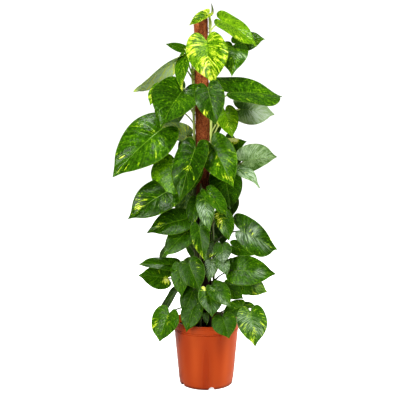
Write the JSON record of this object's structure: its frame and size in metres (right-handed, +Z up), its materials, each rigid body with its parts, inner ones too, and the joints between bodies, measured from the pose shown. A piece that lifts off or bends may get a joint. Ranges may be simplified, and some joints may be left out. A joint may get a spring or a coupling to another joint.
{
  "type": "potted golden pothos",
  "caption": "Climbing aroid house plant with heart-shaped variegated leaves on a coir pole, standing in a plastic nursery pot.",
  "frame": {"origin": "centre of the pot's foot, at the height of the surface that the pot stands on", "axes": "+Z up along the pot and pole, -Y towards the front of the plant as pictured, +X to its right"},
  "size_m": [0.4782, 0.2943, 1.1046],
  "materials": {
    "pot_plastic": "satin",
    "potting_mix": "rough",
    "coir": "rough",
    "stake_wood": "matt",
    "foliage": "glossy"
  },
  "bodies": {
    "root": {"pot": "pot_plastic", "soil": "potting_mix", "coir_pole": "coir", "pole_stake": "stake_wood", "vine_right": "foliage", "vine_left": "foliage", "vine_front": "foliage", "vine_back_left": "foliage", "vine_back_right": "foliage"}
  },
  "joints": []
}
